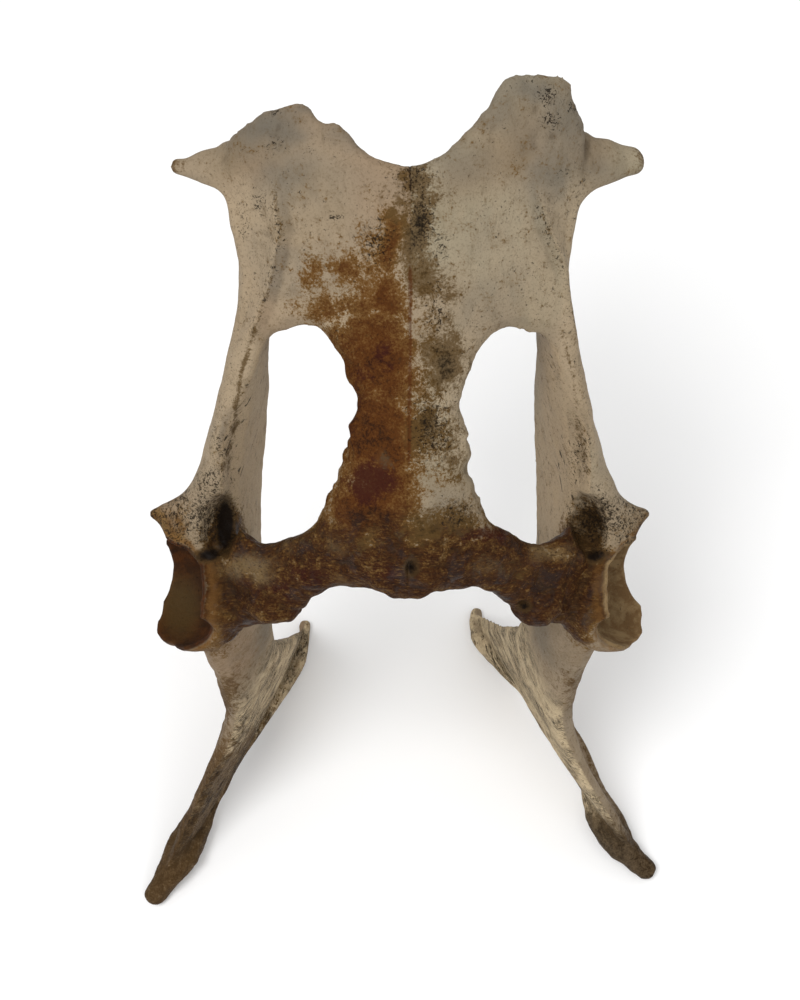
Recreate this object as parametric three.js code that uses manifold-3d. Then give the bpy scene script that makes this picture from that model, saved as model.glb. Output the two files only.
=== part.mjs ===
// Pelvis of an adult white-tailed deer, life size, in millimetres.
// Both hip bones are built in the bone's own frame: x across the body, y towards
// the tail end, z towards the belly side, zero at the level of the hip sockets.
// The finished bones are then tipped so that they stand on the two iliac crests.
import * as THREE from 'three';
import Module from 'manifold-3d';

const wasm = await Module();
wasm.setup();

// Overall sizes.
const restTilt = THREE.MathUtils.degToRad(24);
const floorLevel = -125.5;
const seamGap = 0.3;
const pastMidline = 2;

// Belly surface of the pelvic floor: height on the midline at y = 0, its rise
// towards the tail, and how far it falls away towards the sides.
const floorHeight = 37.7;
const floorRise = 0.351;
const halfWidth = 47;
const sideFall = 31;
const sideFallLoss = 13 / 86;
const fallFrom = -19;

// Hip socket.
const socketRadius = 13;
const socketCentre = new THREE.Vector3(50.8, -19.4, -1);
const socketAxis = new THREE.Vector3(0.9, 0, 0.44).normalize();
const socketRim = 14.3;
const socketRimDepth = 2;
const socketBack = 18.4;

// Iliac crest: radius of its lip at the inner end, the middle, the wide part and
// the outer end.
const crestInner = 1.6;
const crestMiddle = 2.2;
const crestWide = 4.9;
const crestOuter = 2.9;

// Fineness of the surfaces.
const stationsAroundHole = 66;
const stationsAlongWall = 34;
const acrossFace = 7;
const roundSteps = 12;

const bonePale = 0xb5a58c;
const boneGrey = 0xa79f90;
const boneBrown = 0x6d4c33;

// What differs between the two sides. Tail border of the ischium, inner rim of the
// foramen, flank of the ischium, hook, horn beside the socket, waist and front lobe
// of the socket rim, back border of the ilium, its neck, and the iliac crest.
const sides = {
  left: {
    sign: -1,
    tailBorder: [
      [7.4, 66.4], [13.8, 72.3], [17.4, 73], [20.6, 76.6], [24.4, 76.4], [30, 74.6], [35.8, 70.4],
    ],
    foramenRim: [[18.6, -3.8], [14.8, 4], [12.4, 12.4], [10.7, 19.6], [11.9, 24.4], [14, 28.8]],
    foramenTop: 0.5,
    foramenLow: [-9.2, -8.1],
    flank: 0.7,
    corner: [36.4, 59.2],
    hook: [[33.3, 65.6], [39.6, 65.9], [45.8, 66.4]],
    hookHalf: [4.6, 4.7, 2.5, 1.2],
    hookEnd: 1.7,
    hornRoot: [[40.4, 4.6], [46.2, -0.8]],
    horn: [55, -3.6],
    waist: 51.7,
    lobe: [50.6, -27.4],
    spineShift: [-0.6, 0, 0.2],
    backBorder: [-25, -35.2, -35.2, -35],
    neck: [[43.8, -34, -14], [41.8, -44.6, -35], [40.6, -56, -51]],
    crest: [
      [24.9, -35.1], [25.8, -43], [32.8, -54.6], [42.8, -67.8], [53.8, -87.6], [57.8, -95.8],
      [63.2, -103.2],
    ],
    wingShift: -0.4,
  },
  right: {
    sign: 1,
    tailBorder: [
      [6.6, 66.8], [14.6, 75.8], [17.6, 80.5], [21, 81.9], [31.2, 81.2], [31.8, 78.2], [34.2, 72.6],
    ],
    foramenRim: [[17, -3.8], [13, 5.6], [12.6, 11.5], [10.6, 18], [12.4, 24.6], [13.8, 29.4]],
    foramenTop: 0,
    foramenLow: [-8.9, -9.3],
    flank: -0.6,
    corner: [34.4, 60.2],
    hook: [[32.8, 66.6], [38.8, 67.3], [44.7, 67.6]],
    hookHalf: [4.6, 4.8, 3.1, 1.8],
    hookEnd: 2.5,
    hornRoot: [[40.2, 3.8], [45.2, -2]],
    horn: [53.3, -3.6],
    waist: 50.2,
    lobe: [49.3, -27.6],
    spineShift: [-1.2, -1.2, -1.2],
    backBorder: [-22, -30.4, -32.2, -32.2],
    neck: [[42, -33, -13], [40.4, -44.4, -34], [40.6, -56, -51]],
    crest: [
      [23, -31.8], [22.6, -36.2], [30.2, -45.8], [45.3, -60.8], [55, -83.2], [60.1, -92.2],
      [66, -97.4],
    ],
    wingShift: -0.1,
  },
};

function bellySurface(x, y) {
  const fall = sideFall - sideFallLoss * (y - fallFrom);
  return floorHeight + floorRise * y - fall * Math.pow(Math.abs(x) / halfWidth, 1.5);
}

function vector(values) {
  return new THREE.Vector3(values[0], values[1], values[2] ?? 0);
}

function curveThrough(points, closed = false) {
  return new THREE.CatmullRomCurve3(points.map(vector), closed, 'centripetal');
}

// A smooth value along a list of evenly placed numbers.
function blend(values, t, closed = false) {
  const count = closed ? values.length : values.length - 1;
  const place = t * count;
  const low = Math.min(Math.floor(place), count - (closed ? 0 : 1));
  const part = place - low;
  const ease = part * part * (3 - 2 * part);
  const next = values[(low + 1) % values.length];
  return values[low % values.length] * (1 - ease) + next * ease;
}

function signedVolume(positions, index) {
  let sum = 0;
  const corner = [new THREE.Vector3(), new THREE.Vector3(), new THREE.Vector3()];
  for (let i = 0; i < index.length; i += 3) {
    for (let k = 0; k < 3; k += 1) {
      corner[k].fromArray(positions, 3 * index[i + k]);
    }
    sum += corner[0].dot(corner[1].cross(corner[2])) / 6;
  }
  return sum;
}

function manifoldFrom(positions, index) {
  const triangles = index.slice();
  if (signedVolume(positions, index) < 0) {
    for (let i = 0; i < triangles.length; i += 3) {
      const swap = triangles[i + 1];
      triangles[i + 1] = triangles[i + 2];
      triangles[i + 2] = swap;
    }
  }
  const mesh = new wasm.Mesh({
    numProp: 3,
    vertProperties: new Float32Array(positions),
    triVerts: new Uint32Array(triangles),
  });
  mesh.merge();
  return new wasm.Manifold(mesh);
}

function solidOf(geometry) {
  const positions = Array.from(geometry.attributes.position.array);
  const index = geometry.index
    ? Array.from(geometry.index.array)
    : positions.slice(0, positions.length / 3).map((value, i) => i);
  return manifoldFrom(positions, index);
}

// Joins closed outlines, one after another, into a solid skin.
function loft(rings, closed) {
  const positions = [];
  const index = [];
  const around = rings[0].length;
  const count = rings.length;
  for (const ring of rings) {
    for (const point of ring) {
      positions.push(point.x, point.y, point.z);
    }
  }
  for (let i = 0; i < (closed ? count : count - 1); i += 1) {
    const next = (i + 1) % count;
    for (let j = 0; j < around; j += 1) {
      const beside = (j + 1) % around;
      index.push(i * around + j, i * around + beside, next * around + beside);
      index.push(i * around + j, next * around + beside, next * around + j);
    }
  }
  if (!closed) {
    for (const end of [0, count - 1]) {
      const middle = new THREE.Vector3();
      rings[end].forEach((point) => middle.add(point));
      middle.divideScalar(around);
      const hub = positions.length / 3;
      positions.push(middle.x, middle.y, middle.z);
      for (let j = 0; j < around; j += 1) {
        const a = end * around + j;
        const b = end * around + ((j + 1) % around);
        index.push(hub, end === 0 ? b : a, end === 0 ? a : b);
      }
    }
  }
  return manifoldFrom(positions, index);
}

// Walks once round a flat section: up one face and back down the other.
function sectionSteps() {
  const steps = [];
  for (let k = 0; k < 2 * acrossFace; k += 1) {
    const angle = (Math.PI * k) / acrossFace;
    steps.push({ across: (1 - Math.cos(angle)) / 2, side: Math.sign(Math.sin(angle) || 0) });
  }
  return steps;
}

function edgeRound(across, power) {
  const off = Math.abs(2 * across - 1);
  return Math.pow(Math.max(0, 1 - Math.pow(off, power)), 1 / power);
}

// Pelvic floor: a plate that runs round the obturator foramen, between the rim
// of the hole and the outer border, and follows the belly surface.
function pelvicFloor(side) {
  const { flank, foramenTop: top, foramenLow: [lowOuter, lowInner] } = side;
  const inner = curveThrough([
    ...side.foramenRim, [17.4, 33.2 + top / 2], [18.2, 33.7 + top], [19, 34 + top],
    [20, 34.2 + top], [21.4, 34.2 + top], [23, 34 + top], [25, 33.2 + top],
    [27.4, 31.8 + top], [29, 30 + top / 2], [31, 26.4], [33.8, 21],
    [37.4, 13], [37, -1], [31, lowOuter], [25.8, lowInner], [21.4, -6.6],
  ], true);
  const outer = curveThrough([
    [-pastMidline, -19.6], [-pastMidline, -2], [-pastMidline, 12], [-pastMidline, 25],
    [-pastMidline, 37], [-pastMidline, 49], [-pastMidline, 62.6], ...side.tailBorder,
    side.corner, [33.1 + flank, 46], [36.7 + flank, 30], [41.6 + flank, 11],
    [45, -6], [40, -26.5], [27, -25.5], [14.7, -18.1],
  ], true);
  const half = [
    4.6, 4.6, 4.5, 4.3, 4.1, 3.9, 3.7, 3.5, 3.3, 3.1, 3, 3, 3, 3.4, 4.2, 4.8, 5, 4.6,
    5, 6.2, 5.6, 4.8,
  ];
  const rings = [];
  for (let i = 0; i < stationsAroundHole; i += 1) {
    const t = i / stationsAroundHole;
    const from = inner.getPoint(t);
    const to = outer.getPoint(t);
    const thick = blend(half, t, true);
    rings.push(sectionSteps().map(({ across, side: face }) => {
      const point = from.clone().lerp(to, across);
      const middle = bellySurface(point.x, point.y) - thick;
      point.z = middle + face * thick * edgeRound(across, 2.6);
      return point;
    }));
  }
  return loft(rings, true);
}

// Ischium body, acetabular part and wing of the ilium: one long blade between a
// back rail and a belly rail, with a middle rail that gives it its bow.
function hipWall(side) {
  const { flank, spineShift: spine, backBorder, wingShift: wing, crest } = side;
  const [startX, startY] = crest[0];
  const [endX, endY] = crest[crest.length - 1];
  const back = curveThrough([
    [31, 74, 28], [30.6, 60, 23], [30.8, 43, 13], [30.6 + spine[0], 25, -4],
    [31.8 + spine[1], 8, -19], [32.8 + spine[2], -8, -27], [31.6, backBorder[0], -38],
    [30.2, backBorder[1], -54], [27.8, backBorder[2], -72],
    [25.6, backBorder[3], -96], touchingFloor(startX, startY, crestInner),
  ]);
  const middle = curveThrough([
    [31.2 + flank, 72, 39], [30.6 + flank, 60, 34], [30.6 + flank, 43, 26],
    [33.2 + flank, 25, 12], [37.8 + flank / 2, 8, 0], [40.4, -12, -6], [38.8, -27, -26],
    [36.8, -38, -43], [36.4, -45.6, -61], [39 + wing, -56, -82],
    [(startX + endX) / 2 - 0.4, (startY + endY) / 2 - 0.6, -99.5],
  ]);
  const belly = curveThrough([
    [31 + flank, 71, 49], [29.4 + flank, 58, 44], [29.2 + flank, 43, 38],
    [33.2 + flank, 25, 27], [40.4 + flank, 8, 15], [45, -16, 8], ...side.neck,
    [50 + wing, -73.6, -69], touchingFloor(endX, endY, crestOuter),
  ]);
  const thickBack = [2.2, 2.2, 1.9, 1.5, 1.3, 1.8, 3.2, 3.4, 2.6, 2.2, 2];
  const thickMiddle = [2.8, 3.2, 3.6, 3.8, 4.4, 6, 5.8, 4.5, 3.6, 2.4, 2];
  const thickBelly = [2.8, 3.6, 4, 4, 4.6, 5, 5, 4.6, 4, 3.2, 2.8];
  const surface = (t, s) => {
    const point = back.getPoint(t).multiplyScalar(2 * (s - 0.5) * (s - 1));
    point.addScaledVector(middle.getPoint(t), 4 * s * (1 - s));
    return point.addScaledVector(belly.getPoint(t), 2 * s * (s - 0.5));
  };
  const rings = [];
  const reach = 0.004;
  for (let i = 0; i <= stationsAlongWall; i += 1) {
    const t = i / stationsAlongWall;
    const low = Math.max(0, t - reach);
    const high = Math.min(1, t + reach);
    rings.push(sectionSteps().map(({ across, side: face }) => {
      const along = surface(high, across).sub(surface(low, across));
      const over = surface(t, across + reach).sub(surface(t, across - reach));
      const outward = along.cross(over).normalize();
      const thick = 2 * (across - 0.5) * (across - 1) * blend(thickBack, t)
        + 4 * across * (1 - across) * blend(thickMiddle, t)
        + 2 * across * (across - 0.5) * blend(thickBelly, t);
      return surface(t, across).addScaledVector(outward, face * thick * edgeRound(across, 2.4));
    }));
  }
  return loft(rings, false);
}

// A tapering round bar along a curve, rounded off at both ends.
function taperedBar(points, radii, flatten = 1, steps = 14) {
  const path = curveThrough(points);
  const rings = [];
  const frames = path.computeFrenetFrames(steps, false);
  for (let i = 0; i <= steps; i += 1) {
    const t = i / steps;
    const centre = path.getPointAt(t);
    const radius = blend(radii, t);
    rings.push(Array.from({ length: roundSteps }, (unused, k) => {
      const angle = (2 * Math.PI * k) / roundSteps;
      return centre.clone()
        .addScaledVector(frames.normals[i], radius * Math.cos(angle))
        .addScaledVector(frames.binormals[i], flatten * radius * Math.sin(angle));
    }));
  }
  return loft(rings, false);
}

function lump(centre, radii, turn = [0, 0, 0]) {
  const shape = new THREE.SphereGeometry(1, roundSteps, roundSteps / 2 + 2);
  shape.deleteAttribute('normal');
  shape.deleteAttribute('uv');
  shape.scale(...radii);
  shape.rotateX(turn[0]);
  shape.rotateY(turn[1]);
  shape.rotateZ(turn[2]);
  shape.translate(...centre);
  return solidOf(shape);
}

// Centre height of a round end that just touches the floor at this spot.
function touchingFloor(x, y, radius) {
  const height = (floorLevel + radius - y * Math.sin(restTilt)) / Math.cos(restTilt);
  return [x, y, height];
}

// Thick lip of the iliac crest, from the sacral tuber to the coxal tuber.
function iliacCrest(side) {
  const radii = [
    crestInner, crestMiddle, crestMiddle, crestMiddle, 0.62 * crestWide, crestWide, crestOuter,
  ];
  const lifts = [0, 1.4, 5, 7.2, 3.6, 1, 0];
  const centres = side.crest.map(([x, y], i) => {
    const [, , height] = touchingFloor(x, y, radii[i]);
    return [x, y, height + lifts[i]];
  });
  const inner = centres[0];
  const outer = centres[centres.length - 1];
  const bar = taperedBar(centres, radii, 1, 22);
  const innerEnd = lump(inner, [crestInner, crestInner, crestInner]);
  const outerEnd = lump(outer, [crestOuter, crestOuter, crestOuter]);
  return bar.add(innerEnd).add(outerEnd);
}

function socketBody() {
  const profile = [
    [0, -socketBack], [7, -socketBack + 1.2], [11.8, -13], [14.2, -8.4],
    [socketRim, -4.6], [socketRim - 0.4, -socketRimDepth], [socketRim - 1.6, -socketRimDepth + 0.7],
    [0, -socketRimDepth + 0.7],
  ].map(([radius, along]) => new THREE.Vector2(radius, along));
  const shape = new THREE.LatheGeometry(profile, 28);
  shape.deleteAttribute('normal');
  shape.deleteAttribute('uv');
  const turn = new THREE.Quaternion().setFromUnitVectors(new THREE.Vector3(0, 1, 0), socketAxis);
  shape.applyQuaternion(turn);
  shape.translate(...socketCentre.toArray());
  return solidOf(shape);
}

function socketHollow() {
  const ball = new THREE.SphereGeometry(socketRadius, 28, 18);
  ball.deleteAttribute('normal');
  ball.deleteAttribute('uv');
  ball.translate(...socketCentre.toArray());
  return solidOf(ball);
}

// One whole hip bone on the side of positive x.
function hipBone(side) {
  const { hook, hornRoot, hookEnd: end } = side;
  const [hookX, hookY] = hook[2];
  const [hornX, hornY] = side.horn;
  const [shoulderX, shoulderY] = side.tailBorder[6];
  let bone = pelvicFloor(side).add(hipWall(side)).add(iliacCrest(side)).add(socketBody());
  bone = bone.add(taperedBar(
    [[27, 64.4, 43], [...hook[0], 43], [...hook[1], 42.6], [hookX, hookY, 41.6]],
    side.hookHalf, 1.6, 12));
  bone = bone.add(lump([hookX, hookY, 41.6], [end, 1.1 * end, end]));
  bone = bone.add(taperedBar(
    [[31, 73, 29], [32, 71, 38], [shoulderX - 2.4, shoulderY - 1, 47]], [2.6, 3.4, 3], 1, 8));
  bone = bone.add(lump([31, 73, 29], [2.6, 2.8, 2.8]));
  bone = bone.add(taperedBar(
    [[...hornRoot[0], 13], [...hornRoot[1], 8], [hornX, hornY, 4]], [4.6, 3.4, 1.6], 1, 9));
  bone = bone.add(taperedBar(
    [[hornX - 2.2, hornY - 0.4, 3.4], [side.waist - 2.4, -8.6, 4], [47, -13.6, 6.4]],
    [1.5, 2.4, 2], 1, 8));
  bone = bone.add(lump([side.waist - 5, -6.2, 4.6], [6.2, 7.4, 4.8]));
  bone = bone.add(lump([...side.lobe, -9], [5, 5.5, 6]));
  bone = bone.add(lump([28, -21.8, 11.6], [6, 4.9, 4.5]));
  bone = bone.subtract(socketHollow());
  bone = bone.subtract(lump([43, -17.4, 0], [7.4, 6.8, 7.6]));
  bone = bone.subtract(lump([48.5, -30, 11], [9, 5.6, 12]));
  bone = bone.subtract(lump([39.8, -6, 12], [4.2, 7.4, 9.4], [0.2, 0.1, 0.26]));
  bone = bone.subtract(lump([side.waist + 9, -14.7, -14], [9, 10.4, 26]));
  return bone;
}

// A half-space as a large block, with its face at a point and facing a direction.
function halfSpace(point, direction) {
  const size = 500;
  const block = new THREE.BoxGeometry(size, size, size);
  const facing = direction.clone().normalize();
  const turn = new THREE.Quaternion().setFromUnitVectors(new THREE.Vector3(0, 0, 1), facing);
  const place = point.clone().addScaledVector(facing, -size / 2 - seamGap / 2);
  block.deleteAttribute('normal');
  block.deleteAttribute('uv');
  block.applyQuaternion(turn);
  block.translate(...place.toArray());
  return solidOf(block);
}

function largestPiece(solid) {
  return solid.decompose().sort((a, b) => b.volume() - a.volume())[0];
}

// The seams between the three bones of each half: one across the floor from the
// symphysis to the socket, one across the neck of the ilium through the socket.
const ischiumSeamPoint = new THREE.Vector3(0, 14.5, 0);
const ischiumSeamFacing = new THREE.Vector3(0.552, 0.834, 0);
const iliumSeamPoint = new THREE.Vector3(47, -18.7, 0);
const iliumSeamFacing = new THREE.Vector3(0, 0.427, 0.904);

function splitBones(bone) {
  const awayFromMidline = halfSpace(new THREE.Vector3(0, 0, 0), new THREE.Vector3(-1, 0, 0));
  const half = bone.intersect(awayFromMidline);
  const behind = ischiumSeamFacing.clone().negate();
  const ischium = half.intersect(halfSpace(ischiumSeamPoint, behind));
  const front = half.intersect(halfSpace(ischiumSeamPoint, ischiumSeamFacing));
  const ilium = front.intersect(halfSpace(iliumSeamPoint, iliumSeamFacing));
  const pubis = front.intersect(halfSpace(iliumSeamPoint, iliumSeamFacing.clone().negate()));
  return { ilium, ischium, pubis };
}

function meshOf(solid, sign, name, colour, roughness) {
  const result = largestPiece(solid).getMesh();
  const geometry = new THREE.BufferGeometry();
  const positions = new Float32Array(result.vertProperties);
  const index = Array.from(result.triVerts);
  for (let i = 0; i < positions.length; i += 3) {
    positions[i] *= sign;
  }
  if (sign < 0) {
    for (let i = 0; i < index.length; i += 3) {
      index.splice(i, 3, index[i], index[i + 2], index[i + 1]);
    }
  }
  geometry.setAttribute('position', new THREE.BufferAttribute(positions, 3));
  geometry.setIndex(index);
  geometry.rotateX(restTilt);
  const material = new THREE.MeshStandardMaterial({ color: colour, roughness, metalness: 0 });
  const mesh = new THREE.Mesh(geometry, material);
  mesh.name = name;
  return mesh;
}

const group = new THREE.Group();
group.name = 'deer_pelvis';
for (const [name, side] of Object.entries(sides)) {
  const bones = splitBones(hipBone(side));
  group.add(meshOf(bones.ilium, side.sign, `${name}_ilium`, boneGrey, 0.6));
  group.add(meshOf(bones.ischium, side.sign, `${name}_ischium`, bonePale, 0.65));
  group.add(meshOf(bones.pubis, side.sign, `${name}_pubis`, boneBrown, 0.45));
}

// The zero point is the middle of the underside of the box around the bones.
const box = new THREE.Box3().setFromObject(group, true);
const middleX = (box.min.x + box.max.x) / 2;
const middleY = (box.min.y + box.max.y) / 2;
for (const mesh of group.children) {
  mesh.geometry.translate(-middleX, -middleY, -box.min.z);
  mesh.geometry.computeVertexNormals();
}

export default group;
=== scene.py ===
import math

import bpy
import numpy as np
from mathutils import Matrix, Vector


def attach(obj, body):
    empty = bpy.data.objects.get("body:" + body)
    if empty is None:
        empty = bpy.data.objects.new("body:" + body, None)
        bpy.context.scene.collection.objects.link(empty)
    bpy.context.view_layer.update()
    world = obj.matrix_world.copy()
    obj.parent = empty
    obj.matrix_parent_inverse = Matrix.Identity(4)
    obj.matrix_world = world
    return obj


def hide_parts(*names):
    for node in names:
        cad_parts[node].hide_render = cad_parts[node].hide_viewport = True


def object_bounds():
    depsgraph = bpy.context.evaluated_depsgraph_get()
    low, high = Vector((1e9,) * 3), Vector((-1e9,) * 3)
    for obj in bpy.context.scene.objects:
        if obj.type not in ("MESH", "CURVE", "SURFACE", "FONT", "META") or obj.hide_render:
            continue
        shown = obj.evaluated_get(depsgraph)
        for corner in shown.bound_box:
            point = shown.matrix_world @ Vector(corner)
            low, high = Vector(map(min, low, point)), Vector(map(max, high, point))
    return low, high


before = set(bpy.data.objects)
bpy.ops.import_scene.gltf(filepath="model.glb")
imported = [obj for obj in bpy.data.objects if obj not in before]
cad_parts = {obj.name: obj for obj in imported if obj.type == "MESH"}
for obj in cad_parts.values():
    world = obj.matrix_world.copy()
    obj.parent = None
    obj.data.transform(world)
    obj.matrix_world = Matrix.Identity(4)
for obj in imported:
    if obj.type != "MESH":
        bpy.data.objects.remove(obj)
cad_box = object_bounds()

# The bone's own frame, in millimetres: x across, y towards the tail end, z towards
# the belly side, zero at the hip sockets. The bones are tipped by stand_tilt and
# moved by stand_shift to stand on the floor.
stand_tilt = math.radians(24)
stand_shift = np.array((-1.40, 1.794, 125.5))
tilt_cos = math.cos(stand_tilt)
tilt_sin = math.sin(stand_tilt)
to_world = np.array(((1, 0, 0), (0, tilt_cos, -tilt_sin), (0, tilt_sin, tilt_cos)))

# The skin, in metres: its voxel size and how far the solids are swollen to close
# their thin cuts. Corners in one cell of a grid, with so many cells to the metre,
# are merged.
voxel = 0.0005
swell = 0.00022
merge_grid = 2e5
# Smoothing: the share of the way to the neighbours' mean, in and back out, and the
# rounds for the whole skin, for the soft places, for the normals and for the level
# that hollows are measured from.
step_in, step_out = 0.62, -0.65
smooth_rounds = 34
soft_rounds = 50
normal_rounds = 3
level_rounds = 14
# In millimetres: how far a half may pass the seam, and the hollow that counts as full
# for the painted shade in hollows.
seam_reach = 0.25
full_hollow = 0.12
socket_centre = np.array((50.8, -19.4, -1.0))
socket_radius = 13.0

sides = {"left": -1.0, "right": 1.0}


def step(low, high, values):
    """Smooth step from 0 at low to 1 at high, which may run downwards."""
    t = np.clip((values - low) / (high - low), 0, 1)
    return t * t * (3 - 2 * t)


def hill(distance, width):
    """A soft bump: 1 where distance is 0, fading out over about twice the width."""
    return np.exp(-((distance / width) ** 2))


def lattice(ix, iy, iz, seed):
    """A repeatable random value from -1 to 1 at each whole-number point."""
    h = (ix * 374761393 + iy * 668265263 + iz * 1440662683 + seed * 974634777) & 0xFFFFFFFF
    h = ((h ^ (h >> 13)) * 1274126177) & 0xFFFFFFFF
    return ((h ^ (h >> 16)) & 0xFFFF) / 32767.5 - 1


def noise(p, size, seed):
    """Smooth noise with features about size mm wide; size may differ by axis."""
    q = p / np.asarray(size, float)
    base = np.floor(q).astype(np.int64)
    f = q - base
    f = f * f * (3 - 2 * f)
    total = np.zeros(len(p))
    for dx in (0, 1):
        wx = f[:, 0] if dx else 1 - f[:, 0]
        for dy in (0, 1):
            wy = f[:, 1] if dy else 1 - f[:, 1]
            for dz in (0, 1):
                wz = f[:, 2] if dz else 1 - f[:, 2]
                corner = lattice(base[:, 0] + dx, base[:, 1] + dy, base[:, 2] + dz, seed)
                total += wx * wy * wz * corner
    return total


def rough(p, size, seed, octaves=3):
    """Noise with finer and weaker noise added to it."""
    total = np.zeros(len(p))
    for k in range(octaves):
        total += noise(p, np.asarray(size, float) / 2**k, seed + k) / 2**k
    return total


def to_line(points, corners):
    """Distance in x and y from each point to a line through the corners."""
    best = np.full(len(points), 1e9)
    for a, b in zip(corners[:-1], corners[1:]):
        a = np.array(a, float)
        d = np.array(b, float) - a
        t = np.clip(((points - a) @ d) / (d @ d), 0, 1)
        best = np.minimum(best, np.linalg.norm(points - a - t[:, None] * d, axis=1))
    return best


def away_from(places, centre, stretch=(1, 1, 1)):
    """Distance from each place to the centre, with each axis divided by its stretch."""
    return np.linalg.norm((places - centre) / stretch, axis=1)


def floor_height(y, z):
    """Height above the plane that parts the pelvic floor from the walls under it."""
    return z + 0.35 * (20 - y) - 8


def quads_of(mesh):
    """Four corners for each face; a triangle repeats its last one."""
    count = len(mesh.polygons)
    corners = np.zeros(len(mesh.loops), np.int64)
    mesh.loops.foreach_get("vertex_index", corners)
    totals = np.zeros(count, np.int64)
    mesh.polygons.foreach_get("loop_total", totals)
    starts = np.zeros(count, np.int64)
    mesh.polygons.foreach_get("loop_start", starts)
    last = np.where(totals == 4, starts + 3, starts + 2)
    return np.stack((corners[starts], corners[starts + 1], corners[starts + 2], corners[last]), 1)


def normals_of(points, quads):
    """Outward normals at the points, from the faces round them."""
    face = np.cross(points[quads[:, 2]] - points[quads[:, 0]], points[quads[:, 3]] - points[quads[:, 1]])
    flat = quads[:, 2] == quads[:, 3]
    if flat.any():
        tri = quads[flat]
        face[flat] = np.cross(points[tri[:, 1]] - points[tri[:, 0]], points[tri[:, 2]] - points[tri[:, 0]])
    out = np.zeros_like(points)
    for corner in range(4):
        for axis in range(3):
            out[:, axis] += np.bincount(quads[:, corner], face[:, axis], len(points))
    return out / np.maximum(np.linalg.norm(out, axis=1), 1e-12)[:, None]


def relax(points, edges, amount, weight=None):
    """One smoothing step: each point moves towards the mean of its neighbours."""
    count = np.bincount(edges.ravel(), minlength=len(points)).astype(float)
    mean = np.zeros_like(points)
    for axis in range(3):
        mean[:, axis] = np.bincount(edges[:, 0], points[edges[:, 1], axis], len(points))
        mean[:, axis] += np.bincount(edges[:, 1], points[edges[:, 0], axis], len(points))
    mean /= np.maximum(count, 1)[:, None]
    shift = (mean - points) * amount
    return points + (shift if weight is None else shift * weight[:, None])


def smooth(points, edges, rounds):
    """Smoothing that keeps the volume: each step in is followed by one back out."""
    for _ in range(rounds):
        points = relax(points, edges, step_in)
        points = relax(points, edges, step_out)
    return points


def fused_mesh(side):
    """The side's three CAD solids as one fine skin, a little swollen to close the cuts."""
    points, faces, offset = [], [], 0
    for part in ("ilium", "ischium", "pubis"):
        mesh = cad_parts[f"{side}_{part}"].data
        local = np.zeros(len(mesh.vertices) * 3)
        mesh.vertices.foreach_get("co", local)
        local = local.reshape(-1, 3)
        keys, index = np.unique(np.round(local * merge_grid).astype(np.int64), axis=0, return_inverse=True)
        merged = np.zeros((len(keys), 3))
        merged[index.ravel()] = local
        quads = index.ravel()[quads_of(mesh)]
        outward = normals_of(merged, quads)
        points.append(merged + outward * swell)
        faces += (quads[:, :3] + offset).tolist()
        offset += len(merged)
    data = bpy.data.meshes.new(f"{side}_raw")
    data.from_pydata(np.concatenate(points).tolist(), [], faces)
    data.update()
    raw = bpy.data.objects.new(f"{side}_raw", data)
    bpy.context.scene.collection.objects.link(raw)
    remesh = raw.modifiers.new("fine", "REMESH")
    remesh.mode = "VOXEL"
    remesh.voxel_size = voxel
    remesh.adaptivity = 0
    graph = bpy.context.evaluated_depsgraph_get()
    fine = bpy.data.meshes.new_from_object(raw.evaluated_get(graph))
    bpy.data.objects.remove(raw)
    return fine


def blots(where, spots):
    """The strongest of several soft oval patches: centre, half-widths, strength."""
    total = np.zeros(len(where))
    for x, y, wide, high, strength in spots:
        reach = ((where[:, 0] - x) / wide) ** 2 + ((where[:, 1] - y) / high) ** 2
        total = np.maximum(total, strength * np.exp(-reach))
    return total


def wing_way(mirrored):
    """Places on the iliac wing as distances along its fibres, across them and inwards."""
    along = np.array((0.474, -0.815, 0.333))
    side_way = np.cross(along, (1, 0, 0))
    side_way /= np.linalg.norm(side_way)
    return np.stack((mirrored @ along, mirrored @ side_way, mirrored @ np.cross(along, side_way)), 1)


def crest_x(y, sign):
    """The crest between the belly face of the ischium and its outer face."""
    if sign < 0:
        return np.interp(y, (30, 35, 43, 52, 60), (34.3, 31.0, 27.6, 25.4, 26.3))
    return np.interp(y, (30, 35, 42.6, 48, 54, 60), (34.6, 34.0, 32.6, 30.0, 27.0, 24.9))


def soft_places(points):
    """Where separate forms flow into each other: round the notch and along the flank."""
    across, y, z = np.abs(points[:, 0]), points[:, 1], points[:, 2]
    mirrored = np.stack((across, y, z), 1)
    from_socket = away_from(mirrored, socket_centre)
    notch = step(53, 48, across) * step(33, 37, across) * step(24, 16, y) * step(-15, -9, y) * step(-4, 1, z)
    flank = step(24, 28, across) * step(14, 22, y) * step(66, 60, y) * step(8, 14, z)
    soft = np.maximum(notch * step(14.4, 16, from_socket), flank)
    for corner, reach in (((54.8, -21, -13), 3.6), ((52.6, -5.6, 3.4), 3.2)):
        soft = np.maximum(soft, hill(away_from(mirrored, corner), reach))
    return soft


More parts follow.
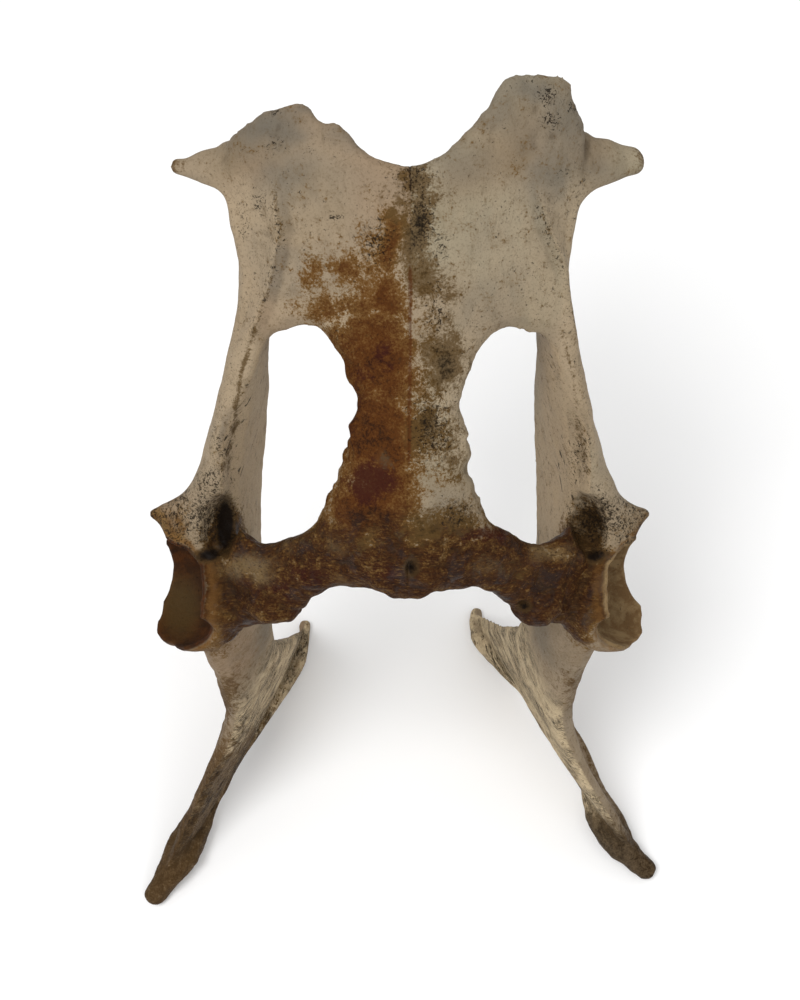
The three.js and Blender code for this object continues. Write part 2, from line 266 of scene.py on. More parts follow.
def shaped(points, outward, sign):
    """Moves the skin's points, in the bone's frame, to carve the natural detail."""
    x, y, z = points.T
    across = np.abs(x)
    flat = np.stack((across, y), 1)
    mirrored = np.stack((across, y, z), 1)
    belly = step(0.15, 0.6, outward[:, 2])
    floor_part = step(-6, 6, floor_height(y, z)) * step(46, 40, across)
    in_socket = step(1.6, 0.6, np.abs(away_from(mirrored, socket_centre) - socket_radius))
    wing = step(-40, -56, z)
    move = np.zeros_like(points)

    # Symphysis: a low crest on each side of the seam, with a shallow trough beside it.
    run = step(-19, -14, y) * step(66, 54, y) * belly
    crest = hill(across, 2.2) * (0.45 + 0.5 * noise(points, 5, 3)) * step(52, 34, y)
    lift = run * (crest - 0.45 * hill(across - 6, 4) * step(56, 40, y))
    lift -= run * 0.5 * hill(across, 2.5) * step(38, 50, y)
    # The crest that parts the belly face of the ischium from its outer face.
    edge_x = crest_x(y, sign)
    lift += belly * hill(across - edge_x, 1.5) * 0.9 * step(28, 36, y) * step(64, 54, y)
    lift -= belly * step(0, 5, across - edge_x) * 1.4 * step(26, 38, y) * step(66, 54, y)
    # The sharp line that runs from the foramen down the wall to the notch.
    line_x = np.interp(y, (-2, 8, 20, 30), (36.2, 35.6, 33.4, 31.2))
    lift += hill(across - line_x, 1.2) * 0.5 * step(-4, 2, y) * step(33, 28, y) * step(0, 10, z)
    # Rugged pubic part, with fibres that run across the body.
    bar = step(4, -8, y) * floor_part * (1 - in_socket)
    lift += bar * (0.5 * rough(points, 5.5, 11) + 0.2 * rough(points, 1.9, 17, 2))
    lift += bar * 0.26 * rough(points, (7, 1.5, 2.4), 19, 2)
    # Small openings for blood vessels: beside the seam and in the right eminence.
    lift -= belly * 1.7 * hill(away_from(points, (0.7, -14, 31), (1, 1.5, 4)), 1.1)
    if sign > 0:
        lift -= 1.5 * hill(away_from(points, (25.2, -22.6, 15), (1.3, 1, 5)), 0.9)
    # Wing: long furrows that run with the crest.
    lines = rough(wing_way(mirrored), (16, 1.5, 3), 23 if sign > 0 else 29, 2)
    inner_face = step(-0.1, 0.5, -outward[:, 0] * sign)
    lift += wing * inner_face * 0.24 * lines * step(-92, -70, y)
    # Front ends of the wings: lumpy.
    lift += step(-62, -92, y) * 0.4 * rough(points, 5, 37)
    # Broad unevenness and small bumps everywhere but in the sockets.
    lift += (1 - in_socket) * (0.3 * rough(points, 13, 41) + 0.08 * rough(points, 2.2, 47, 2))
    # Tail borders: knobbly.
    lift += step(64, 71, y) * 0.36 * rough(points, 3.2, 53, 2)
    move += outward * lift[:, None]

    # Ragged inner edges of the obturator foramina.
    rim = to_line(flat, [(17.2, -3.6), (13.6, 6), (11.2, 17.5), (13.6, 29), (17, 33)])
    away = flat - np.array((24.0, 14.0))
    away /= np.maximum(np.linalg.norm(away, axis=1), 1e-6)[:, None]
    teeth = 0.9 * noise(points, 3.1, 61) + 0.5 * noise(points, 1.5, 67)
    ragged = hill(rim, 2.3) * floor_part * teeth * step(32, 26, y) * step(-6, 2, y)
    move[:, 0] += ragged * away[:, 0] * sign
    move[:, 1] += ragged * away[:, 1]
    # The halves meet along the seam.
    move[:, 0] -= sign * 0.5 * hill(across, 1.1)
    return points + move


# Soft oval patches, seen square on to the belly side in the bone's frame: centre
# across and along, half-width, half-height, strength. These are painted shade in
# the hollows beside the sockets.
pit_shade_patches = (
    (-38.9, -5.8, 2, 6.2, 1.8), (-42.2, -11.4, 3.8, 1.8, 1.35), (-43, -8, 4, 4, 0.35),
    (40, -5.8, 4.4, 6.2, 0.85), (41, -12, 3.2, 1.6, 1.25), (36.8, -6, 1.4, 4, 0.95),
)
# The others lie on the belly face.
rust_patches = (
    (-6, 40, 7, 9, 1.0), (-3.4, 50, 3, 8, 0.8), (-12, 45, 6, 5, 0.72), (-19, 44, 4, 3.6, 0.6),
    (-15, 37, 6, 4, 0.7), (-22, 38, 4, 2.4, 0.35), (-3, 58, 2.6, 4, 0.4), (-9, 52, 4, 3.4, 0.5),
    (-7, 27, 10, 11, 1.2), (-6, 12, 10, 13, 1.3), (-8, -3, 10, 10, 1.3), (-13, 32, 5, 3, 0.75),
)
olive_patches = (
    (0.6, 60, 6, 5, 0.85), (1.6, 52, 3.6, 8, 1.15), (3.4, 44, 3.4, 6, 0.95), (7, 42, 3.4, 4, 0.6),
    (6.6, 36, 3.4, 3, 0.6), (6.2, 28, 4.6, 7, 1.15), (4, 14, 3.6, 8, 1.05), (8.4, 10, 4, 8, 0.7),
    (3.6, -5, 6, 4, 0.9), (10, -4, 6, 4, 0.85), (-2.4, 56, 3, 6, 0.7), (-9, -9, 5, 3, 0.55),
    (-26, 30, 2.4, 9, 0.3), (28, 42, 1.6, 8, 0.35), (-25, -7, 7, 3.4, 0.6), (-38, -5, 6, 4, 0.55),
    (24, -15, 5, 4, 0.45),
)
purple_patches = (
    (-8, 4, 5, 5, 1.0), (-11, 17, 2.6, 6, 0.7), (-5, 29, 3, 4, 0.7), (-9, 25, 3, 3, 0.6),
    (16, -8, 6, 2.6, 0.95), (-30, -19, 8, 2.4, 0.7), (-22, -15.6, 5, 3, 0.7), (26, -13, 5, 3, 0.6),
    (-20, -24, 5, 3, 0.7), (-4, -15, 6, 3, 0.6), (34, -22, 4, 2.4, 0.4),
)
bare_patches = (
    (-34, -15.2, 6.5, 4, 0.78), (31, -11.4, 6, 3, 0.62), (-27, -10, 5, 2.4, 0.4), (-5, 8, 1.8, 3, 0.35),
    (-16, -9.4, 5, 2.4, 0.4), (-14, -17, 4, 2, 0.4), (17, -14.4, 5, 2, 0.45), (-7, -9, 5, 3, 0.25),
)
blue_patches = (
    (-27, 73, 9, 5, 1.0), (-24, 62, 6, 7, 0.85), (-20, 76, 4, 3, 0.8), (27, 62, 6, 9, 1.0),
    (30, 74, 6, 8, 0.8), (24, 80, 7, 4, 0.9), (-12, 70, 5, 4, 0.6), (16, 52, 6, 6, 0.4),
    (18, 42, 5, 6, 0.35), (36, 66, 6, 5, 0.6), (9, 66, 7, 5, 0.5), (7, -1, 4, 4, 0.4),
)
speck_patches = (
    (-26.6, 75, 1.5, 0.9, 1.0), (-26.2, 68.6, 1.8, 1.3, 0.95), (-29.6, 58.8, 1.6, 2.6, 0.85),
    (-14.4, 54.8, 1.8, 0.9, 1.0), (-21.6, 77.6, 1.6, 1.2, 0.7), (-19.2, 67.2, 1.0, 0.8, 0.8),
    (26.4, 77.6, 2.4, 2.2, 1.0), (31.8, 76.4, 1.6, 1.8, 1.1), (27.2, 73.4, 2.4, 1.8, 1.0),
    (22.8, 80.6, 1.2, 0.9, 1.0), (30, 64, 1.4, 1.4, 0.7), (6, 48.8, 1.8, 4, 0.8),
    (0.8, 62, 5, 5, 0.8), (2.4, 54, 3, 7, 1.0), (-6.5, 50, 4, 5, 0.9), (-41, 4, 5, 4, 1.0),
    (-39, 12, 3, 6, 0.7), (37, 10, 3, 8, 0.7), (-42, -42, 4, 8, 0.85), (38, -38, 4, 6, 0.9),
    (5.4, 36, 3, 7, 0.7), (5, 14, 5, 8, 0.9), (-33, 56, 2, 9, 0.5), (34, 58, 3, 8, 0.5),
    (-37, -7, 5, 5, 0.9), (42, -3, 5, 4, 0.7), (10, -3, 5, 4, 0.8),
)


def marks(points, outward, hollow, sign):
    """Where the stains, dark parts, painted shade, painted light and shine lie, as values from 0 to about 1.
    """
    x, y, z = points.T
    across = np.abs(x)
    flat = np.stack((across, y), 1)
    mirrored = np.stack((across, y, z), 1)
    left = sign < 0
    wave = rough(points, 9, 71)
    fine = rough(points, 3.5, 73)
    spread = np.stack((x + 1.6 * wave + 1.1 * fine, y + 2.0 * noise(points, 8, 77) - 1.2 * fine), 1)
    from_socket = away_from(mirrored, socket_centre)
    socket = step(1.5, 0.7, np.abs(from_socket - socket_radius))
    fossa = step(9.4, 6.4, away_from(mirrored, (43, -17.4, 0))) * step(13.4, 12.4, from_socket)
    socket = np.maximum(socket, fossa)
    floor_part = step(-4, 4, floor_height(y, z))
    facing = floor_part * step(-0.5, 0.3, outward[:, 2])
    rust = facing * blots(spread, rust_patches)
    edge = 4 * step(-10, -14, y)
    bar = step(1, -10, y + 2.5 * wave) * step(49, 44, across - edge) * floor_part * step(0.95, 0.5, socket)
    bar *= 1 - 0.8 * step(38, 42, across) * step(-25, -29, y)
    bar *= 1 - 0.9 * step(41, 44, across) * step(-13, -10, y)
    bare = blots(spread, bare_patches) * facing
    stain = np.maximum(rust, bar * 1.15) - 0.3 * bare
    under = step(-10, -26, y) * step(34, 41, across) * step(-24, -12, z) * (1 - socket)
    stain = np.maximum(stain, (0.6 if left else 0.3) * under * step(-0.2, 0.5, wave + 0.3))
    olive = facing * blots(spread, olive_patches)
    ridge = np.abs(across - crest_x(y, sign) - 0.5 * fine)
    ridge = hill(ridge, 0.8) * step(27, 33, y) * step(64, 58, y)
    groove = to_line(flat, [(31, 34), (34, 26), (36, 16), (38.5, 6)])
    olive = np.maximum(olive, facing * ridge * (0.44 if left else 0.36))
    olive = np.maximum(olive, facing * hill(groove + 0.6 * wave, 0.9) * (0.75 if left else 0.5))
    above = step(-3, 2, z) * step(-0.5, 0.2, outward[:, 2])
    # Painted shade in the hollows beside the sockets.
    pit_shade = above * blots(np.stack((x + 0.5 * fine, y + 0.7 * wave), 1), pit_shade_patches)
    notch = above * step(44, 47, across) * step(10, 2, y) * step(-18, -10, y)
    # Painted shade in the small openings for blood vessels, beside the seam and, on the right, in the
    # eminence.
    hole_shade = hill(away_from(points, (0.7, -13.8, 33), (1, 1.4, 5)), 1.7)
    if left:
        ends = 0.5 * step(-62, -88, y + 3 * wave)
        shaft = 0.85 * step(-34, -50, y + 2 * wave) * step(34, 42, across + 0.45 * (y + 45))
        shaft = np.maximum(shaft, 0.75 * step(-48, -70, y + 4 * wave))
    else:
        eminence = away_from(points, (25.2, -22.6, 15), (1.3, 1, 6))
        hole_shade = np.maximum(hole_shade, hill(eminence, 1.3))
        ends = 0.85 * step(-76, -90, y + 3 * wave)
        shaft = 0.5 * step(-34, -46, y + 2 * wave) * step(36, 43, across + 0.5 * (y + 48))
    tip = step(42, 47, across) * step(58, 62, y)
    shaft = np.maximum(np.maximum(shaft, 0.45 * tip), 0.26 * notch)
    # Painted shade in the pits and small openings, with the dark colour of the wings' front ends.
    dark = np.maximum(np.maximum(pit_shade, hole_shade * 1.2), ends)
    grey = np.maximum(blots(spread, blue_patches), 0.6 * step(0.1, 0.9, rough(points, 15, 83, 2)))
    pink = step(-0.4, 0.7, rough(points, 19, 89, 2)) * (1.0 if left else 0.2)
    green = (0.0 if left else 0.8) * step(-0.8, 0.5, rough(points, 17, 97, 2)) * step(-10, 20, y)
    wing = step(-34, -50, z)
    # The wing's inner face, the inner walls (plates) and the outer faces are picked by which way they turn;
    # their lighter colour is painted light.
    inner_wing = wing * step(-0.1, 0.4, -outward[:, 0] * sign) * step(-98, -74, y)
    plates = step(-0.25, -0.7, outward[:, 0] * sign) * step(-20, 0, y) * step(27, 31, across)
    side_face = step(0.1, 0.6, outward[:, 0] * sign) * step(4, 12, y) * step(66, 56, y)
    seam = hill(x, 0.6) * facing * step(50, 42, y) * step(2, 10, y)
    crack = hill(x - 0.25 * wave, 0.4) * facing * step(54, 62, y)
    specks = np.maximum(blots(np.stack((x, y), 1), speck_patches) * facing, 0.8 * notch)
    specks = np.maximum(specks, above * blots(flat, ((42, -4, 7, 7, 1.2),)) * (1 - socket))
    specks = np.maximum(specks, 0.3 * side_face)
    on_crest = hill(across - crest_x(y, sign), 1.6) * step(30, 36, y) * step(62, 56, y)
    specks = np.maximum(specks, 0.6 * facing * on_crest)
    flank = step(29, 32, across) * step(14, 22, y) * step(66, 60, y) * step(8, 14, z)
    lip = to_line(flat, [(46.6, -12.4), (49.5, -9), (53, -4.6), (55.4, -2.8)])
    lip = hill(lip, 2.8) * above * (1 - socket)
    ochre = np.maximum((1.1 if left else 0.7) * lip, 0.45 * under)
    ochre = np.maximum(ochre, (0.36 if left else 0.1) * step(-24, -34, y) * step(-6, -16, z))
    horn = above * step(44, 49, across) * step(1, -5, y) * step(-16, -10, y) * (1 - socket)
    ochre = np.maximum(ochre, (0.75 if left else 0.42) * horn)
    basin = blots(flat, ((50, -24, 5, 7.5, 1.0),)) * socket
    return {
        "ochre": ochre, "stain": np.clip(stain, 0, 1.4),
        "rust": np.clip(rust, 0, 1) * (1 - bar), "olive": np.clip(olive, 0, 1.2),
        "dark": np.clip(dark, 0, 1.3), "shaft": shaft, "bar": bar,
        "purple": blots(spread, purple_patches) * facing, "grey": np.clip(grey, 0, 1),
        "pink": np.clip(pink, 0, 1), "green": green, "wet": np.clip(bar * (0.75 + 0.3 * wave), 0, 1),
        "bare": bare, "socket": socket, "basin": basin, "pale": socket * (0 if left else 1), "speck": specks,
        "rim": hill(from_socket - 14.2, 1.2) * (1.0 if left else 0.75) * (1 - socket),
        "wing": inner_wing, "plates": plates * (1 - socket), "seam": seam, "crack": crack,
        "flank": np.maximum(side_face, flank),
        "hollow": np.clip(hollow / full_hollow, -1, 1.5) * (1 - 0.8 * flank),
        "way": wing_way(mirrored),
    }


def hip_bone(side, sign, material):
    """One whole hip bone: the fused skin, smoothed, carved and marked."""
    mesh = fused_mesh(side)
    points = np.zeros(len(mesh.vertices) * 3)
    mesh.vertices.foreach_get("co", points)
    points = (points.reshape(-1, 3) * 1000 - stand_shift) @ to_world
    quads = quads_of(mesh)
    edges = np.zeros(len(mesh.edges) * 2, np.int64)
    mesh.edges.foreach_get("vertices", edges)
    edges = edges.reshape(-1, 2)
    points = smooth(points, edges, smooth_rounds)
    here = soft_places(points)
    for _ in range(soft_rounds):
        points = relax(points, edges, 0.8, here)
    outward = normals_of(points, quads)
    points -= outward * (swell * 1000 * step(0.6, 1.4, np.abs(points[:, 0])))[:, None]
    outward = normals_of(points, quads)
    for _ in range(normal_rounds):
        outward = relax(outward, edges, 0.8)
    points = shaped(points, outward, sign)
    points = smooth(points, edges, 2)
    points[:, 0] = sign * np.maximum(points[:, 0] * sign, -seam_reach)
    outward = normals_of(points, quads)
    # The depth of each point below a smoothed copy of the skin, which sets the painted shade in hollows.
    level = points
    for _ in range(level_rounds):
        level = relax(level, edges, 0.9)
    hollow = ((level - points) * outward).sum(1)
    for name, values in marks(points, outward, hollow, sign).items():
        if values.ndim == 2:
            layer = mesh.attributes.new(name, "FLOAT_VECTOR", "POINT")
            layer.data.foreach_set("vector", values.astype(np.float32).ravel())
        else:
            layer = mesh.attributes.new(name, "FLOAT", "POINT")
            layer.data.foreach_set("value", values.astype(np.float32))
    world = (points @ to_world.T + stand_shift) / 1000
    world = np.clip(world, np.array(cad_box[0]), np.array(cad_box[1]))
    mesh.vertices.foreach_set("co", world.ravel())
    mesh.polygons.foreach_set("use_smooth", np.ones(len(mesh.polygons), bool))
    mesh.materials.clear()
    mesh.materials.append(material)
    mesh.update()
    piece = bpy.data.objects.new(f"{side}_hip_bone", mesh)
    bpy.context.scene.collection.objects.link(piece)
    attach(piece, "root")
    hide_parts(f"{side}_ilium", f"{side}_ischium", f"{side}_pubis")


class Nodes:
    """Short calls for building a material's node tree."""

    def __init__(self, tree):
        self.tree = tree

    def add(self, kind, values=None, **settings):
        node = self.tree.nodes.new(kind)
        for key, value in settings.items():
            setattr(node, key, value)
        for key, value in (values or {}).items():
            if isinstance(value, bpy.types.NodeSocket):
                self.tree.links.new(value, node.inputs[key])
            else:
                node.inputs[key].default_value = value
        return node

    def attribute(self, name):
        return self.add("ShaderNodeAttribute", attribute_name=name).outputs["Fac"]

    def noise(self, scale, detail=4.0, rough_value=0.6, where=None, distort=0.0):
        values = {"Scale": scale, "Detail": detail, "Roughness": rough_value, "Distortion": distort}
        if where is not None:
            values["Vector"] = where
        return self.add("ShaderNodeTexNoise", values).outputs["Fac"]

    def maths(self, kind, a, b=0.0):
        return self.add("ShaderNodeMath", {0: a, 1: b}, operation=kind).outputs[0]

    def spread(self, value, low, high, to_low=0.0, to_high=1.0):
        values = {"Value": value, "From Min": low, "From Max": high, "To Min": to_low, "To Max": to_high}
        node = self.add("ShaderNodeMapRange", values, interpolation_type="SMOOTHSTEP")
        return node.outputs["Result"]

    def mix(self, amount, a, b):
        node = self.add("ShaderNodeMix", data_type="RGBA", clamp_factor=True)
        for socket, value in ((0, amount), (6, a), (7, b)):
            if isinstance(value, bpy.types.NodeSocket):
                self.tree.links.new(value, node.inputs[socket])
            else:
                node.inputs[socket].default_value = value
        return node.outputs[2]


def colour(r, g, b):
    """A colour from everyday 0 to 255 values."""
    def linear(c):
        c /= 255
        return c / 12.92 if c <= 0.04045 else ((c + 0.055) / 1.055) ** 2.4
    return (linear(r), linear(g), linear(b), 1.0)


def bone_material():
    """Dry bone: each mark on the skin brings in its own colour. Some of these colours are painted shade in
    hollows, pits and small openings, or painted light on faces that the lamps reach less.
    """
    material = bpy.data.materials.new("dry_bone")
    material.use_nodes = True
    tree = material.node_tree
    tree.nodes.clear()
    n = Nodes(tree)
    where = n.add("ShaderNodeTexCoord").outputs["Object"]
    names = ("stain", "rust", "olive", "dark", "shaft", "bar", "purple", "grey", "pink", "green", "wet",
             "socket", "speck", "rim", "wing", "plates", "seam", "crack", "hollow", "flank",
             "ochre", "basin", "pale", "bare")
    mask = {name: n.attribute(name) for name in names}
    bone_way = n.add("ShaderNodeMapping", {"Vector": where, "Rotation": (-stand_tilt, 0, 0)}).outputs[0]
    down = n.add("ShaderNodeMapping", {"Vector": bone_way, "Scale": (1, 0.14, 1)}).outputs[0]
    over = n.add("ShaderNodeMapping", {"Vector": bone_way, "Scale": (0.22, 1, 1)}).outputs[0]
    way = n.add("ShaderNodeAttribute", attribute_name="way").outputs["Vector"]
    fibres = n.add("ShaderNodeMapping", {"Vector": way, "Scale": (0.09, 1.3, 0.8)}).outputs[0]
    hairs = n.add("ShaderNodeMapping", {"Vector": way, "Scale": (0.3, 2.4, 1.4)}).outputs[0]

    broad = n.noise(60, 4, 0.55, where)
    cloud = n.noise(170, 5, 0.6, where, 0.6)
    mottle = n.noise(520, 8, 0.7, where, 0.5)
    grain = n.noise(1900, 6, 0.72, where)
    streak = n.noise(900, 5, 0.65, down)
    cross = n.noise(800, 6, 0.72, over)
    thread = n.noise(1.0, 6, 0.66, fibres)
    fibre = n.noise(2300, 5, 0.7, over, 0.6)

    def uneven(value, *textures):
        for texture, amount in textures:
            extra = n.maths("MULTIPLY", n.maths("SUBTRACT", texture, 0.5), amount)
            value = n.maths("ADD", value, extra)
        return value

    # Clean bone: pale tan, pinkish on one side, greenish grey on the other, with bluish clouds.
    # The lighter colours on the inner walls (plates), on the wings' inner faces and on the flanks are
    # painted light.
    base = n.mix(n.spread(broad, 0.35, 0.65), colour(128, 112, 90), colour(143, 127, 105))
    for name, amount, shade in (
        ("pink", 0.6, (138, 115, 91)), ("green", 0.75, (147, 139, 117)), ("grey", 0.85, (98, 93, 84)),
        ("plates", 0.85, (164, 144, 116)), ("wing", 0.85, (200, 180, 146)), ("flank", 0.6, (164, 146, 120)),
    ):
        base = n.mix(n.maths("MULTIPLY", mask[name], amount), base, colour(*shade))
    for texture, start, full, amount, shade in (
        (cloud, 0.5, 0.75, 0.35, (102, 86, 62)), (mottle, 0.5, 0.72, 0.4, (94, 78, 56)),
        (grain, 0.5, 0.66, 0.32, (82, 69, 51)), (streak, 0.55, 0.7, 0.25, (86, 72, 52)),
    ):
        base = n.mix(n.spread(texture, start, full, 0, amount), base, colour(*shade))

    # Brown and rust stains: the stronger the stain, the darker.
    soak = uneven(mask["stain"], (mottle, 1.5), (cloud, 1.3), (grain, 1.8))
    varied = n.maths("ADD", n.maths("SUBTRACT", cross, 0.5), n.maths("SUBTRACT", cloud, 0.5))
    soak = n.maths("ADD", soak, n.maths("MULTIPLY", varied, n.maths("MULTIPLY", mask["bar"], 1.5)))
    tan = n.mix(mask["rust"], colour(98, 72, 36), colour(102, 71, 34))
    brown = n.mix(mask["rust"], colour(60, 34, 13), colour(76, 42, 12))
    base = n.mix(n.spread(soak, 0.2, 0.6), base, tan)
    base = n.mix(n.spread(soak, 0.45, 1.05), base, brown)
    base = n.mix(n.spread(soak, 1.0, 1.55), base, colour(38, 18, 6))
    purple = n.spread(uneven(mask["purple"], (mottle, 1.2), (grain, 0.8)), 0.3, 0.8, 0, 0.82)
    base = n.mix(purple, base, colour(50, 17, 11))

    # Light fibres, worn places and soot on the pubic part.
    light = n.maths("MULTIPLY", n.spread(fibre, 0.55, 0.66, 0, 0.5), mask["bar"])
    base = n.mix(light, base, colour(124, 92, 50))
    worn = n.spread(uneven(mask["bare"], (mottle, 0.9), (grain, 0.5)), 0.15, 0.95, 0, 0.85)
    base = n.mix(worn, base, colour(116, 97, 68))
    soot = n.maths("MULTIPLY", n.spread(fibre, 0.47, 0.36, 0, 0.75), mask["bar"])
    base = n.mix(soot, base, colour(30, 15, 8))

    # Grime on the shafts and olive growth beside the seam.
    grime = uneven(mask["shaft"], (mottle, 1.4), (streak, 0.8), (grain, 0.9))
    base = n.mix(n.spread(grime, 0.2, 0.6, 0, 0.85), base, colour(84, 62, 34))
    base = n.mix(n.spread(grime, 0.55, 1.0, 0, 0.85), base, colour(40, 25, 13))
    algae = uneven(mask["olive"], (mottle, 1.8), (grain, 1.4))
    base = n.mix(n.spread(algae, 0.25, 0.75, 0, 0.85), base, colour(80, 60, 31))
    base = n.mix(n.spread(algae, 0.8, 1.4, 0, 0.92), base, colour(30, 23, 12))

    # The sockets, with ochre lips and brown rims, the seam and cracks, painted shade in hollows,
    # pits and small openings, and the dark front ends of the wings.
    cup = n.mix(n.spread(uneven(cloud, (mottle, 0.6)), 0.38, 0.64), colour(44, 21, 5), colour(70, 36, 9))
    cup = n.mix(n.spread(uneven(mask["basin"], (cloud, 0.8)), 0.1, 0.9, 0, 0.85), cup, colour(70, 52, 24))
    worn_cup = n.spread(uneven(cloud, (mottle, 0.8)), 0.36, 0.64)
    cup = n.mix(mask["pale"], cup, n.mix(worn_cup, colour(98, 74, 46), colour(128, 106, 74)))
    base = n.mix(n.maths("MULTIPLY", mask["socket"], 0.97), base, cup)
    warm = n.spread(uneven(mask["ochre"], (mottle, 0.9)), 0.2, 0.9, 0, 0.85)
    base = n.mix(warm, base, n.mix(n.spread(cloud, 0.42, 0.6), colour(86, 58, 24), colour(114, 86, 46)))
    rim = n.spread(uneven(mask["rim"], (mottle, 1.0)), 0.3, 0.9, 0, 0.6)
    base = n.mix(rim, base, colour(104, 72, 36))
    line = n.spread(uneven(mask["seam"], (mottle, 1.0)), 0.4, 0.9, 0, 0.7)
    base = n.mix(line, base, colour(72, 36, 10))
    cut = n.spread(uneven(mask["crack"], (cloud, 1.4), (mottle, 1.0)), 0.6, 1.0, 0, 0.8)
    base = n.mix(cut, base, colour(24, 16, 10))
    # Painted shade: darker in the hollows of the skin.
    hollow = n.spread(uneven(mask["hollow"], (mottle, 0.9)), 0.35, 1.6, 0, 0.36)
    base = n.mix(hollow, base, colour(52, 38, 22))
    # Painted shade in the pits beside the sockets and in the small openings, and the dark colour of the
    # wings' front ends.
    pit_shade_and_dark_ends = uneven(mask["dark"], (mottle, 0.8), (grain, 0.8))
    base = n.mix(n.spread(pit_shade_and_dark_ends, 0.2, 0.7, 0, 0.8), base, colour(64, 47, 25))
    base = n.mix(n.spread(pit_shade_and_dark_ends, 0.65, 1.2, 0, 0.97), base, colour(15, 8, 4))

    # Cracks and dark fibres on the wing.
    fissure = n.spread(n.maths("ABSOLUTE", n.maths("SUBTRACT", thread, 0.5)), 0.05, 0.008)
    here = n.maths("MULTIPLY", mask["wing"], n.spread(n.noise(120, 3, 0.5, where), 0.42, 0.56))
    fissure = n.maths("MULTIPLY", fissure, here)
    shade = n.maths("MULTIPLY", n.spread(thread, 0.5, 0.7, 0, 0.42), mask["wing"])
    base = n.mix(shade, base, colour(92, 72, 46))
    base = n.mix(n.maths("MULTIPLY", fissure, 0.85), base, colour(22, 15, 9))
    short = n.maths("MULTIPLY", n.spread(n.noise(1.0, 3, 0.6, hairs), 0.6, 0.64), mask["wing"])
    base = n.mix(n.maths("MULTIPLY", short, 0.85), base, colour(30, 20, 11))

    # Small dark specks, dense in a few places, and dashes on the inner plates.
    small = uneven(n.noise(1250, 3, 0.6, where, 1.0), (mask["speck"], 0.2))
    spot = n.spread(small, 0.615, 0.66)
    tiny = uneven(n.noise(2600, 2, 0.5, where, 0.8), (mask["speck"], 0.14))
    spot = n.maths("MAXIMUM", spot, n.spread(tiny, 0.62, 0.68, 0, 0.8))
    dash = n.maths("MULTIPLY", n.spread(n.noise(640, 2, 0.5, down, 0.4), 0.68, 0.72), mask["plates"])
    spot = n.maths("MAXIMUM", spot, dash)
    base = n.mix(n.maths("MULTIPLY", spot, 0.85), base, colour(22, 15, 9))

    # Shine and relief.
    rough_value = n.spread(grain, 0.3, 0.7, 0.55, 0.75)
    wet = n.maths("MULTIPLY", mask["wet"], n.spread(cloud, 0.48, 0.62))
    rough_value = n.add("ShaderNodeMix", {0: wet, 2: rough_value, 3: 0.26}).outputs[0]
    height = n.maths("MULTIPLY", grain, 0.4)
    height = n.maths("ADD", height, n.maths("MULTIPLY", mottle, 0.9))
    height = n.maths("ADD", height, n.maths("MULTIPLY", n.maths("MULTIPLY", cross, mask["bar"]), 2.0))
    height = n.maths("ADD", height, n.maths("MULTIPLY", n.maths("MULTIPLY", fibre, mask["bar"]), 1.0))
    height = n.maths("ADD", height, n.maths("MULTIPLY", n.maths("MULTIPLY", thread, mask["wing"]), 1.6))
    height = n.maths("SUBTRACT", height, n.maths("MULTIPLY", spot, 1.2))
    height = n.maths("SUBTRACT", height, n.maths("MULTIPLY", fissure, 1.6))
    bump = n.add("ShaderNodeBump", {"Strength": 0.7, "Distance": 0.0004, "Height": height})
    shader = n.add("ShaderNodeBsdfPrincipled", {
        "Base Color": base, "Roughness": rough_value, "Normal": bump.outputs[0], "IOR": 1.45,
        "Specular IOR Level": n.spread(wet, 0.0, 1.0, 0.08, 0.22),
    })
    n.add("ShaderNodeOutputMaterial", {"Surface": shader.outputs[0]})
    return material


def plain_material(name, shade, roughness):
    """An even grey material."""
    material = bpy.data.materials.new(name)
    material.use_nodes = True
    shader = material.node_tree.nodes["Principled BSDF"]
    shader.inputs["Base Color"].default_value = colour(shade, shade, shade)
    shader.inputs["Roughness"].default_value = roughness
    return material


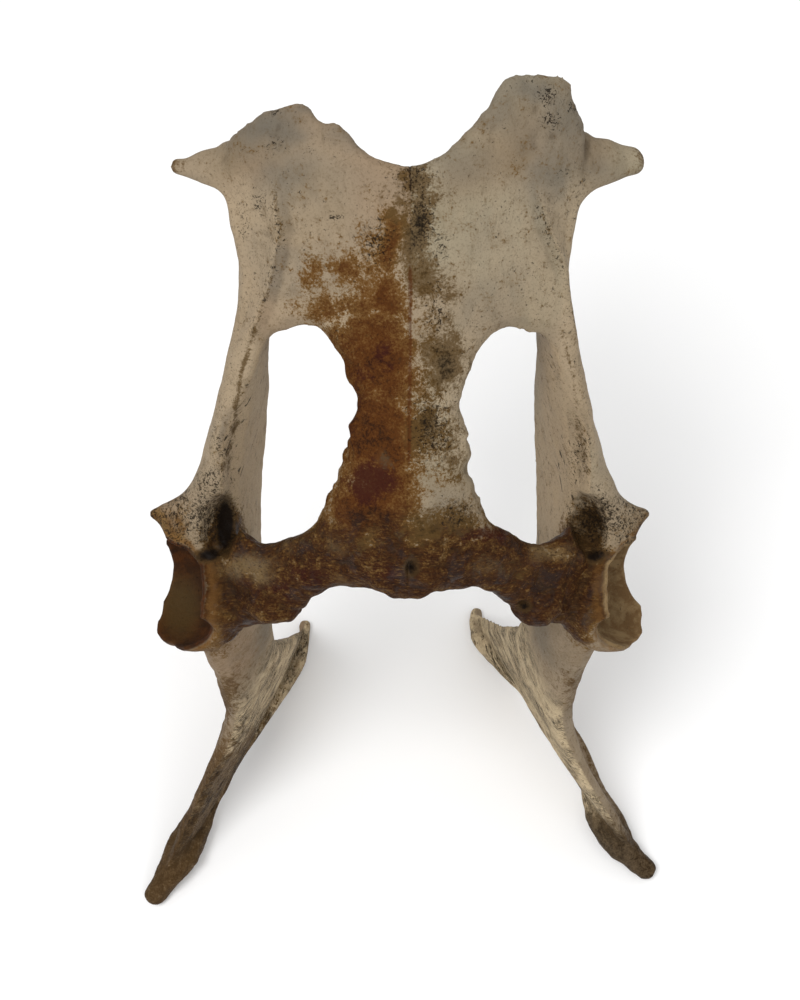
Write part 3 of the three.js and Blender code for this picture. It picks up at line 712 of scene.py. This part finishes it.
def floor_and_light():
    """A pale floor, an even white surround and two soft lamps."""
    data = bpy.data.meshes.new("floor")
    reach = 2.5
    corners = [(-reach, -reach, 0), (reach, -reach, 0), (reach, reach, 0), (-reach, reach, 0)]
    data.from_pydata(corners, [], [(0, 1, 2, 3)])
    floor = bpy.data.objects.new("floor", data)
    data.materials.append(plain_material("pale_floor", 250, 0.7))
    bpy.context.scene.collection.objects.link(floor)

    world = bpy.data.worlds.new("studio")
    bpy.context.scene.world = world
    world.use_nodes = True
    surround = world.node_tree.nodes["Background"].inputs
    surround["Color"].default_value = (1, 1, 1, 1)
    surround["Strength"].default_value = 0.68

    def lamp(name, place, aim, size, power):
        light = bpy.data.lights.new(name, "AREA")
        light.shape = "DISK"
        light.size = size
        light.energy = power
        item = bpy.data.objects.new(name, light)
        bpy.context.scene.collection.objects.link(item)
        item.location = place
        item.rotation_euler = (Vector(aim) - Vector(place)).to_track_quat("-Z", "Y").to_euler()

    lamp("key", (-0.34, -0.3, 1.2), (0, 0, 0.12), 0.5, 8)
    lamp("fill", (0.4, -0.6, 1.1), (0, 0, 0.12), 0.9, 2.4)


def camera():
    """The photo's view: 450 mm in front of the sockets, square on to the belly side."""
    distance = 450.0
    turn = math.radians(1.2)
    aside = -0.88
    frame_height = 24.0
    focal_heights = 2.045
    c, s = math.cos(turn), math.sin(turn)
    place = np.array((aside * c - distance * s, 0.0, aside * s + distance * c))
    right = np.array((c, 0.0, s))
    back = np.array((-s, 0.0, c))
    axes = to_world @ np.stack((right, np.array((0.0, 1.0, 0.0)), back), 1)
    data = bpy.data.cameras.new("camera")
    data.sensor_fit = "VERTICAL"
    data.sensor_height = frame_height
    data.lens = focal_heights * frame_height
    data.clip_start = 0.01
    data.clip_end = 20
    item = bpy.data.objects.new("camera", data)
    bpy.context.scene.collection.objects.link(item)
    matrix = Matrix([list(row) + [0.0] for row in axes] + [[0, 0, 0, 1]])
    matrix.translation = Vector((to_world @ place + stand_shift) / 1000)
    item.matrix_world = matrix
    bpy.context.scene.camera = item


bone = bone_material()
for side, sign in sides.items():
    hip_bone(side, sign, bone)
floor_and_light()
camera()
bpy.context.scene.view_settings.view_transform = "Standard"
